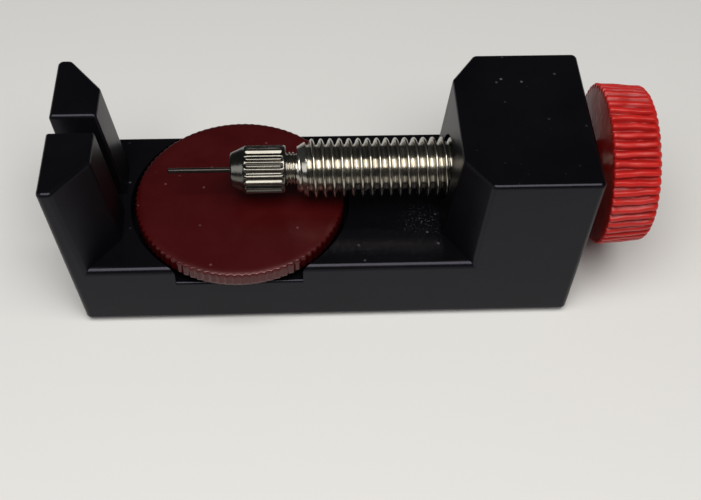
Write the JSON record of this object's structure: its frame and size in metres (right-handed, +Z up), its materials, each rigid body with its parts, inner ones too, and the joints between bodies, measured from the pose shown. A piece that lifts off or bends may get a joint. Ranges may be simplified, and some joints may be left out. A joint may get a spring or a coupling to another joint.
{
  "type": "bracelet link pin remover",
  "caption": "Bench tool that pushes pins out of watch bracelet links: a slotted jaw, a height-adjusting disc, and a threaded spindle with a push pin and knob.",
  "frame": {"origin": "bottom centre of the bounding box, on the resting face of the base pad", "axes": "+Z up, X along the spindle with the jaw at -X and the knob at +X, Y across the tool"},
  "size_m": [0.0784, 0.0286, 0.0276],
  "materials": {
    "body_black": "satin black moulding with rounded edges",
    "pad_rubber": "matt black anti-slip pad",
    "insert_brass": "turned brass threaded insert",
    "disc_red": "dark red anodised, knurled rim",
    "stud_steel": "zinc plated steel",
    "ring_nylon": "natural nylon",
    "spindle_nickel": "nickel plated, rolled thread",
    "pin_steel": "hardened pin steel",
    "knob_red": "bright red moulding with fine ribs",
    "cap_red": "smooth red cap"
  },
  "bodies": {
    "base": {"frame_body": "body_black", "base_pad": "pad_rubber", "spindle_bush": "insert_brass", "lift_bush": "insert_brass"},
    "pin": {"push_pin": "pin_steel"},
    "screw": {"spindle": "spindle_nickel", "cap_nut": "spindle_nickel", "knob": "knob_red", "knob_cap": "cap_red", "knob_washer": "stud_steel", "knob_screw": "stud_steel"},
    "ring": {"friction_ring": "ring_nylon"},
    "table": {"lift_disc": "disc_red", "lift_stud": "stud_steel"}
  },
  "joints": [
    {"name": "spindle_travel", "type": "slide", "parent": "base", "child": "pin", "axis": [-1, 0, 0], "range_m": [-0.02, 0.0015]},
    {"name": "spindle_turn", "type": "hinge", "parent": "pin", "child": "screw", "pos_m": [0, 0, 0.0167], "axis": [-1, 0, 0], "range_deg": [-5760.5, 432.5]},
    {"name": "table_lift", "type": "slide", "parent": "base", "child": "ring", "axis": [0, 0, 1], "range_m": [-0.0012, 0.0006]},
    {"name": "table_turn", "type": "hinge", "parent": "ring", "child": "table", "pos_m": [-0.0153, 0, 0], "axis": [0, 0, 1], "range_deg": [-576.5, 288.5]}
  ],
  "couplings": [
    {"joint": "spindle_turn", "follows": "spindle_travel", "rad_per_m": 5026.5},
    {"joint": "table_turn", "follows": "table_lift", "rad_per_m": 8377.6}
  ]
}
